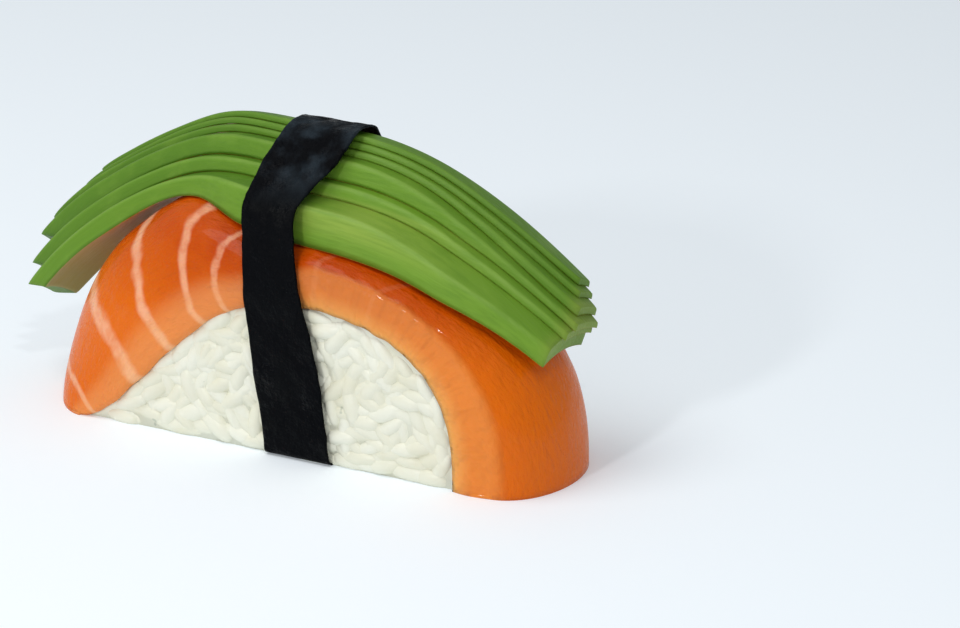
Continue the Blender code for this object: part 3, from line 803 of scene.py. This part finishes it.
def band_middle(y, z):
    """X of the band's middle: on the near side it leans, and it is nearly upright on the far side."""
    if y > 0.0:
        return mix(BAND_FOOT_X, BAND_TOP_X, z / BAND_RIDGE_HEIGHT)
    if z < BAND_KNEE_HEIGHT:
        return mix(BAND_FOOT_X, BAND_KNEE_X, (z / BAND_KNEE_HEIGHT) ** BAND_LEAN_POWER)
    return mix(BAND_KNEE_X, BAND_TOP_X, smooth_step(BAND_KNEE_HEIGHT, BAND_RIDGE_HEIGHT, z))


def band_width(z):
    """Width of the band: drawn in at the knee and widest on top."""
    if z < BAND_KNEE_HEIGHT:
        return mix(BAND_FOOT_WIDTH, BAND_KNEE_WIDTH, smooth_step(BAND_NARROWS_FROM, BAND_KNEE_HEIGHT, z))
    return mix(BAND_KNEE_WIDTH, BAND_TOP_WIDTH, smooth_step(BAND_KNEE_HEIGHT, BAND_WIDE_FROM, z))


def band_crease(x, y, z):
    """Depth of the band's creases: long folds, and small ones where it is pulled tight over the fan."""
    close_x, close_y, close_z = LONG_FOLD_CLOSENESS
    long_folds = LONG_FOLD_DEPTH * abs(ripple(x * close_x, y * close_y, z * close_z, 7))
    close_x, close_y, close_z = SMALL_FOLD_CLOSENESS
    small_depth = mix(*SMALL_FOLD_DEPTHS, smooth_step(BAND_SHOULDER_HEIGHT, BAND_KNEE_HEIGHT, z))
    small_folds = small_depth * abs(ripple(x * close_x, y * close_y, z * close_z, 8))
    return -(long_folds + small_folds) * smooth_step(*FOLDS_RISE, z)


def band_ragged(turn, side):
    """How far the band's long edges wander: turn is the place round the loop as an angle."""
    total = 0.0
    for size, closeness, seed in RAGGED_EDGES:
        place = (closeness * math.cos(turn), closeness * math.sin(turn), side * RAGGED_SIDE_STEP)
        total += size * ripple(*place, seed)
    return total * abs(2.0 * side)


def make_nori(shift):
    """Nori band with ragged edges and fine creases, which lie inside the band's own thickness."""
    outline = band_outline()
    count = len(outline)
    points = []
    tone = []
    for layer_height in (BAND_INNER_GAP, BAND_THICKNESS - BAND_OUTER_GAP):
        for index, point in enumerate(outline):
            tangent = (outline[(index + 1) % count] - outline[index - 1]).normalized()
            normal = Vector((-tangent.y, tangent.x))
            turn = math.tau * index / count
            width = band_width(point.y)
            for row in range(BAND_ROWS + 1):
                side = row / BAND_ROWS - 0.5
                x = band_middle(point.x, point.y) + side * width + band_ragged(turn, side)
                out = point + normal * (band_crease(x, point.x, point.y) + layer_height)
                points.append(Vector((x, out.x, max(0.0, out.y))))
                # Share of the painted sheen, which grows over the band's top
                tone.append((smooth_step(BAND_KNEE_HEIGHT, BAND_WIDE_FROM, point.y), 0.0, 0.0))
    stride = BAND_ROWS + 1
    second = count * stride
    faces = []
    for index in range(count):
        here = index * stride
        there = ((index + 1) % count) * stride
        for row in range(BAND_ROWS):
            inner = (here + row, there + row, there + row + 1, here + row + 1)
            faces.append(inner)
            faces.append(tuple(second + number for number in inner))
        for row in (0, BAND_ROWS):
            faces.append((here + row, there + row, second + there + row, second + here + row))
    piece = finished_piece("nori_band", points, faces, shift, {"tone": tone})
    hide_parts("nori")
    return piece


def rice_clearance():
    """Function that tells how far inside the rice's outline points of a long side lie."""
    outline = [rice_arch(math.pi * step / ARCH_STEPS) for step in range(ARCH_STEPS + 1)]
    xs = np.array([point.x for point in outline])
    zs = np.array([point.y for point in outline])
    order = np.argsort(xs)

    def clearance(x, z):
        nearest = float(np.sqrt(((xs - x) ** 2 + (zs - z) ** 2).min()))
        inside = 0.0 <= z < float(np.interp(x, xs[order], zs[order]))
        return nearest if inside else -nearest

    return clearance


def grain_shape(length, width, bend):
    """Points and faces of one grain: a plump oval, a little bent and flattened."""
    points = []
    faces = []
    for ring in range(GRAIN_RINGS + 1):
        polar = math.pi * ring / GRAIN_RINGS
        z = -0.5 * length * math.cos(polar)
        radius = 0.5 * width * math.sin(polar) ** GRAIN_BLUNTNESS
        for segment in range(GRAIN_SEGMENTS):
            turn = math.tau * segment / GRAIN_SEGMENTS
            x = radius * math.cos(turn) + bend * (1.0 - (2.0 * z / length) ** 2)
            points.append(Vector((x, radius * GRAIN_FLATNESS * math.sin(turn), z)))
    for ring in range(GRAIN_RINGS):
        here = ring * GRAIN_SEGMENTS
        above = here + GRAIN_SEGMENTS
        for segment in range(GRAIN_SEGMENTS):
            after = (segment + 1) % GRAIN_SEGMENTS
            faces.append((here + segment, here + after, above + after, above + segment))
    return points, faces


def grain_ends_clear(x, z, length, lean, clearance):
    """Whether both ends of a grain stay clear of the floor and of the salmon."""
    for reach in (-GRAIN_END * length, GRAIN_END * length):
        end_x = x + reach * math.sin(lean)
        end_z = z + reach * math.cos(lean)
        if end_z < GRAIN_END_LOWEST or clearance(end_x, end_z) < GRAIN_END_MARGIN:
            return False
    return True


def scatter_grains(chance):
    """Grains pressed into the long sides of the rice, as lists of points, faces and shades."""
    clearance = rice_clearance()
    points = []
    faces = []
    shades = []
    for side in (-1, 1):
        centres = []
        for _ in range(GRAIN_TRIES):
            if len(centres) >= GRAINS_PER_SIDE:
                break
            x = chance.uniform(ARCH_TOP_X - ARCH_LEFT, ARCH_TOP_X + ARCH_RIGHT)
            z = chance.uniform(GRAIN_END_LOWEST, ARCH_HEIGHT)
            if any((x - a) ** 2 + (z - b) ** 2 < GRAIN_SPACING ** 2 for a, b in centres):
                continue
            length = GRAIN_LENGTH * chance.uniform(*GRAIN_LENGTHS)
            width = GRAIN_WIDTH * chance.uniform(*GRAIN_WIDTHS)
            lean = chance.uniform(0.0, math.pi)
            if not grain_ends_clear(x, z, length, lean, clearance):
                continue
            centres.append((x, z))
            centre = Vector((x, side * (RICE_HALF_WIDTH - width * chance.uniform(*GRAIN_SINKING)), z))
            turn = Euler((chance.uniform(-GRAIN_TIP, GRAIN_TIP), lean, 0.0), "XYZ").to_matrix()
            turn = turn @ Matrix.Rotation(chance.uniform(0.0, math.tau), 3, "Z")
            shade = chance.random()
            first = len(points)
            grain_points, grain_faces = grain_shape(length, width, chance.uniform(-GRAIN_BEND, GRAIN_BEND))
            for point in grain_points:
                placed = turn @ point + centre
                placed.z = max(0.0, placed.z)
                points.append(placed)
                shades.append((shade, 0.0, 0.0))
            faces += [tuple(first + number for number in face) for face in grain_faces]
    return points, faces, shades


def rice_core():
    """Points, faces and shades of the rice's core."""
    numbers = {}
    points = []
    shades = []

    def corner(i, j, k):
        if (i, j, k) not in numbers:
            numbers[i, j, k] = len(points)
            angle = math.pi * i / RICE_COLUMNS
            share = section_share(j / RICE_ROWS)
            edge_point = moved_out(rice_arch, angle, -RICE_EDGE_INSET)
            top_point = moved_out(crest, angle, -SALMON_THICKNESS - GAP)
            flat = domed(edge_point, top_point, share, angle)
            height = max(flat.y, RICE_LEAST_HEIGHT) if k else 0.0
            points.append(Vector((flat.x, share * (RICE_HALF_WIDTH + RICE_CORE_SWELL), height)))
            shades.append((0.5, 0.0, 0.0))
        return numbers[i, j, k]

    faces = block_faces(RICE_COLUMNS, RICE_ROWS, 1, corner)
    return points, faces, shades


def make_rice(shift):
    """Rice ball: its core with whole grains on the two sides that show."""
    points, faces, shades = rice_core()
    grain_points, grain_faces, grain_shades = scatter_grains(random.Random(GRAIN_SEED))
    first = len(points)
    points += grain_points
    shades += grain_shades
    faces += [tuple(first + number for number in face) for face in grain_faces]
    piece = finished_piece("rice_ball", points, faces, shift, {"tone": shades})
    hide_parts("rice")
    return piece


def node(tree, kind, inputs=None, **settings):
    """New node with its settings, and with values or other nodes' outputs on its inputs."""
    made = tree.nodes.new(kind)
    for name, value in settings.items():
        setattr(made, name, value)
    for key, value in (inputs or {}).items():
        if isinstance(value, bpy.types.NodeSocket):
            tree.links.new(value, made.inputs[key])
        else:
            made.inputs[key].default_value = value
    return made


def new_material(name, surface):
    """Node material with the constant settings of its surface: itself, its tree and its main shader."""
    material = bpy.data.materials.new(name)
    material.use_nodes = True
    shader = material.node_tree.nodes["Principled BSDF"]
    for setting, value in surface.items():
        shader.inputs[setting].default_value = value
    return material, material.node_tree, shader


def blend(tree, factor, first, second):
    """Colour a factor of the way from the first to the second."""
    made = node(tree, "ShaderNodeMix", {0: factor, 6: first, 7: second}, data_type="RGBA")
    return made.outputs[2]


def calc(tree, operation, first, second=0.0):
    """Result of one sum."""
    made = node(tree, "ShaderNodeMath", {0: first, 1: second}, operation=operation)
    return made.outputs[0]


def fade(tree, value, low, high, first=0.0, last=1.0):
    """Smooth change from first to last while the value goes from low to high."""
    inputs = {"Value": value, "From Min": low, "From Max": high, "To Min": first, "To Max": last}
    made = node(tree, "ShaderNodeMapRange", inputs, interpolation_type="SMOOTHSTEP")
    return made.outputs[0]


def cloud(tree, vector, scale, detail):
    """Noise value from 0 to 1."""
    inputs = {"Vector": vector, "Scale": scale, "Detail": detail, "Roughness": CLOUD_ROUGHNESS}
    return node(tree, "ShaderNodeTexNoise", inputs).outputs[0]


def stretched(tree, vector, scales):
    """Vector with each of its parts scaled."""
    return node(tree, "ShaderNodeMapping", {"Vector": vector, "Scale": scales}).outputs[0]


def attribute(tree, name):
    """A paint coordinate of a piece and its three parts."""
    vector = node(tree, "ShaderNodeAttribute", attribute_name=name).outputs["Vector"]
    parts = node(tree, "ShaderNodeSeparateXYZ", {0: vector}).outputs
    return vector, parts[0], parts[1], parts[2]


def bump(tree, height, strength, distance):
    """Surface normal from a height."""
    inputs = {"Height": height, "Strength": strength, "Distance": distance}
    return node(tree, "ShaderNodeBump", inputs).outputs[0]


def fat_lines(tree, field):
    """1 on a fat line and 0 between them, from the position along the slice."""
    total = None
    for position, half_width, strength in FAT_LINES:
        away = calc(tree, "ABSOLUTE", calc(tree, "SUBTRACT", field, position))
        line = fade(tree, away, half_width * FAT_CORE, half_width * FAT_BLUR, strength, 0.0)
        total = line if total is None else calc(tree, "MAXIMUM", total, line)
    return total


def salmon_material():
    """Moist orange flesh, redder and darker on top, partly its own colour and partly painted shade under the
    fan, with thin pale fat lines across it and a paler cut edge.
    """
    material, tree, shader = new_material("salmon_flesh", SALMON_SURFACE)
    place = node(tree, "ShaderNodeTexCoord").outputs["Object"]
    height = node(tree, "ShaderNodeSeparateXYZ", {0: place}).outputs[2]
    vector, field = attribute(tree, "pattern")[:2]
    cut_pale, thin_pale = attribute(tree, "tone")[1:3]
    # Darker red towards the top: partly the flesh's own colour, partly painted shade under the avocado fan
    flesh = blend(tree, fade(tree, height, *SALMON_TONE_AND_SHADE_HEIGHTS), linear(SALMON_SIDE), linear(SALMON_RED_TOP_AND_SHADE))
    patches = fade(tree, cloud(tree, place, *SALMON_PATCHES), *SALMON_PATCH_FADE)
    flesh = blend(tree, patches, flesh, linear(SALMON_PATCH))
    wander = calc(tree, "SUBTRACT", cloud(tree, vector, FAT_PAINT_CLOSENESS, 2.0), 0.5)
    lines = fat_lines(tree, calc(tree, "ADD", field, calc(tree, "MULTIPLY", wander, FAT_PAINT_WANDER)))
    uneven = fade(tree, cloud(tree, vector, *SALMON_UNEVEN), *SALMON_UNEVEN_FADE)
    lines = calc(tree, "MULTIPLY", lines, uneven)
    flesh = blend(tree, calc(tree, "MULTIPLY", lines, FAT_PALENESS), flesh, linear(SALMON_FAT))
    cut_share = calc(tree, "MULTIPLY", cut_pale, CUT_EDGE_PALENESS)
    flesh = blend(tree, cut_share, flesh, linear(SALMON_CUT_EDGE))
    thin_share = calc(tree, "MULTIPLY", thin_pale, THIN_EDGE_PALENESS)
    flesh = blend(tree, thin_share, flesh, linear(SALMON_THIN_EDGE))
    tree.links.new(flesh, shader.inputs["Base Color"])
    fine = cloud(tree, place, *SALMON_FINE)
    tree.links.new(fade(tree, fine, *SALMON_WET_FADE), shader.inputs["Roughness"])
    fibres = cloud(tree, stretched(tree, vector, SALMON_FIBRES), 1.0, 3.0)
    least, more = SALMON_LUMP_HEIGHTS
    lump_height = calc(tree, "ADD", calc(tree, "MULTIPLY", cut_pale, more), least)
    lumps = calc(tree, "MULTIPLY", cloud(tree, place, *SALMON_LUMPS), lump_height)
    tree.links.new(bump(tree, calc(tree, "ADD", fibres, lumps), *SALMON_RELIEF), shader.inputs["Normal"])
    return material


def avocado_material():
    """Smooth green flesh with a painted highlight along each slice's top corner and painted shade on the
    tread behind it, and a cream underside painted more orange towards the salmon as reflected light.
    """
    material, tree, shader = new_material("avocado_flesh", AVOCADO_SURFACE)
    vector, along, across, level = attribute(tree, "pattern")
    ridge_highlight, tread, height = attribute(tree, "tone")[1:4]
    dark_green = linear(AVOCADO_DARK)
    flesh = blend(tree, fade(tree, along, *AVOCADO_TONE_SPAN), linear(AVOCADO_LEFT), linear(AVOCADO_RIGHT))
    rising, falling = YELLOW_LEVELS
    yellow = calc(tree, "MULTIPLY", fade(tree, level, *rising), fade(tree, level, *falling, 1.0, 0.0))
    rising, falling = YELLOW_SPANS
    yellow = calc(tree, "MULTIPLY", yellow, fade(tree, along, *rising))
    yellow = calc(tree, "MULTIPLY", yellow, fade(tree, along, *falling, 1.0, 0.0))
    flesh = blend(tree, calc(tree, "MULTIPLY", yellow, YELLOW_SHARE), flesh, linear(AVOCADO_YELLOW))
    # Painted shade on the tread behind each top corner, strong on the left and faint on the right
    shaded = calc(tree, "MULTIPLY", tread, fade(tree, along, *SHADE_SPAN, *SHADE_SHARES))
    flesh = blend(tree, shaded, flesh, dark_green)
    # Painted highlight along each slice's top corner
    flesh = blend(tree, calc(tree, "MULTIPLY", ridge_highlight, RIDGE_HIGHLIGHT_SHARE), flesh, linear(AVOCADO_RIDGE_HIGHLIGHT))
    flesh = blend(tree, fade(tree, across, *BACK_SPAN, *BACK_SHARES), flesh, dark_green)
    streaks = cloud(tree, stretched(tree, vector, AVOCADO_STREAKS), 1.4, 4.0)
    flesh = blend(tree, fade(tree, streaks, *AVOCADO_STREAK_FADE), flesh, linear(AVOCADO_STREAK))
    blotches = cloud(tree, stretched(tree, vector, AVOCADO_BLOTCHES), 1.0, 3.0)
    flesh = blend(tree, fade(tree, blotches, *AVOCADO_BLOTCH_FADE), flesh, linear(AVOCADO_BLOTCH))
    flesh = blend(tree, fade(tree, along, *RIGHT_TIP_SPAN, *TIP_SHARES), flesh, linear(AVOCADO_TIP))
    under = calc(tree, "MULTIPLY", fade(tree, height, *UNDER_HEIGHTS, 1.0, 0.0), tread)
    # Cream underside, painted more orange towards the salmon as reflected light from it
    cream_and_reflection = blend(tree, fade(tree, along, *UNDER_SPAN), linear(AVOCADO_UNDER_TIP), linear(AVOCADO_UNDERSIDE_AND_REFLECTION))
    flesh = blend(tree, under, flesh, cream_and_reflection)
    tree.links.new(flesh, shader.inputs["Base Color"])
    fine = cloud(tree, stretched(tree, vector, AVOCADO_FINE), 1.0, 4.0)
    tree.links.new(fade(tree, fine, *AVOCADO_DULL_FADE), shader.inputs["Roughness"])
    tree.links.new(bump(tree, fine, *AVOCADO_RELIEF), shader.inputs["Normal"])
    return material


def rice_material():
    """Moist white rice, each grain a little different, with a few tiny darker specks."""
    material, tree, shader = new_material("cooked_rice", {})
    place = node(tree, "ShaderNodeTexCoord").outputs["Object"]
    shade = attribute(tree, "tone")[1]
    white = blend(tree, shade, linear(RICE_DULL), linear(RICE_BRIGHT))
    clouds = fade(tree, cloud(tree, place, *RICE_CLOUDS), *RICE_CLOUD_FADE)
    white = blend(tree, clouds, white, linear(RICE_CLOUD))
    specks = fade(tree, cloud(tree, place, *RICE_SPECKS), *RICE_SPECK_FADE)
    white = blend(tree, specks, white, linear(RICE_SPECK))
    tree.links.new(white, shader.inputs["Base Color"])
    fine = cloud(tree, place, *RICE_FINE)
    tree.links.new(fade(tree, fine, *RICE_WET_FADE), shader.inputs["Roughness"])
    tree.links.new(bump(tree, fine, *RICE_RELIEF), shader.inputs["Normal"])
    return material


def nori_material():
    """Dried seaweed: near black, with a bluish sheen painted in patches on its top and a few small glossy
    wrinkles.
    """
    material, tree, shader = new_material("dried_nori", NORI_SURFACE)
    place = node(tree, "ShaderNodeTexCoord").outputs["Object"]
    top = attribute(tree, "tone")[1]
    patches = cloud(tree, place, *NORI_PATCHES)
    dark = blend(tree, fade(tree, patches, *NORI_PALER_FADE), linear(NORI_DARK), linear(NORI_PALER))
    # Painted sheen: bluish patches on the band's top
    sheen_share = calc(tree, "MULTIPLY", top, NORI_SHEEN_SHARE)
    painted_sheen = calc(tree, "MULTIPLY", fade(tree, patches, *NORI_SHEEN_FADE), sheen_share)
    dark = blend(tree, painted_sheen, dark, linear(NORI_TOP_SHEEN))
    tree.links.new(dark, shader.inputs["Base Color"])
    glossy = cloud(tree, place, *NORI_GLOSS)
    tree.links.new(fade(tree, glossy, *NORI_GLOSS_FADE), shader.inputs["Roughness"])
    wrinkles = cloud(tree, place, *NORI_WRINKLES)
    tree.links.new(bump(tree, wrinkles, *NORI_RELIEF), shader.inputs["Normal"])
    return material


def floor_material():
    """Plain pale floor that glows a little, which keeps shadows faint."""
    material, tree, shader = new_material("pale_floor", FLOOR_SURFACE)
    place = node(tree, "ShaderNodeTexCoord").outputs["Object"]
    tone = cloud(tree, place, *FLOOR_TONES)
    pale = blend(tree, tone, linear(FLOOR_DULL), linear(FLOOR_BRIGHT))
    tree.links.new(pale, shader.inputs["Base Color"])
    return material


def view_axes():
    """Right, up and back of the camera as unit vectors."""
    back = Vector((
        math.sin(VIEW_AZIMUTH) * math.cos(VIEW_ELEVATION),
        -math.cos(VIEW_AZIMUTH) * math.cos(VIEW_ELEVATION),
        math.sin(VIEW_ELEVATION),
    ))
    right = Vector((math.cos(VIEW_AZIMUTH), math.sin(VIEW_AZIMUTH), 0.0))
    return right, back.cross(right), back


def make_camera(shift):
    """Camera at the photograph's viewing angle."""
    focal_pixels = VIEW_SCALE * VIEW_DISTANCE
    right, up, back = view_axes()
    aside = (ORIGIN_PIXEL_X - IMAGE_WIDTH / 2.0) / focal_pixels * VIEW_DISTANCE
    above = (ORIGIN_PIXEL_Y - IMAGE_HEIGHT / 2.0) / focal_pixels * VIEW_DISTANCE
    place = back * VIEW_DISTANCE - right * aside + up * above
    camera = bpy.data.objects.new("camera", bpy.data.cameras.new("camera"))
    camera.data.sensor_width = SENSOR_WIDTH
    camera.data.sensor_fit = "HORIZONTAL"
    camera.data.lens = focal_pixels / IMAGE_WIDTH * SENSOR_WIDTH
    camera.data.clip_start = CLIP_START
    camera.data.clip_end = CLIP_END
    turn = Matrix((right, up, back)).transposed().to_4x4()
    camera.matrix_world = Matrix.Translation((place + shift) * UNIT) @ turn
    bpy.context.scene.collection.objects.link(camera)
    bpy.context.scene.camera = camera


def soft_light(name, place, size, power, colour):
    """Square light that faces the nigiri."""
    lamp = bpy.data.lights.new(name, "AREA")
    lamp.shape = "SQUARE"
    lamp.size = size
    lamp.energy = power
    lamp.color = colour
    light = bpy.data.objects.new(name, lamp)
    light.location = place
    light.rotation_euler = Vector(place).to_track_quat("Z", "Y").to_euler()
    bpy.context.scene.collection.objects.link(light)


def make_stage():
    """Pale floor, soft lights and a pale surrounding."""
    builder = bmesh.new()
    bmesh.ops.create_grid(builder, x_segments=1, y_segments=1, size=FLOOR_HALF_SIZE)
    mesh = bpy.data.meshes.new("floor")
    builder.to_mesh(mesh)
    builder.free()
    floor = bpy.data.objects.new("floor", mesh)
    floor.data.materials.append(floor_material())
    bpy.context.scene.collection.objects.link(floor)
    soft_light("key", *KEY_LIGHT)
    soft_light("window", *WINDOW_LIGHT)
    soft_light("side", *SIDE_LIGHT)
    world = bpy.data.worlds.new("surroundings")
    world.use_nodes = True
    background = world.node_tree.nodes["Background"]
    background.inputs["Color"].default_value = SURROUNDINGS_COLOUR
    background.inputs["Strength"].default_value = SURROUNDINGS
    bpy.context.scene.world = world
    bpy.context.scene.view_settings.view_transform = "Standard"


def main():
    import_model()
    shift = offset_of_row()
    rice = make_rice(shift)
    rice.data.materials.append(rice_material())
    salmon = make_salmon(shift)
    salmon.data.materials.append(salmon_material())
    flesh = avocado_material()
    for index in range(SLICE_COUNT):
        make_slice(index, shift).data.materials.append(flesh)
    nori = make_nori(shift)
    nori.data.materials.append(nori_material())
    make_camera(shift)
    make_stage()


main()
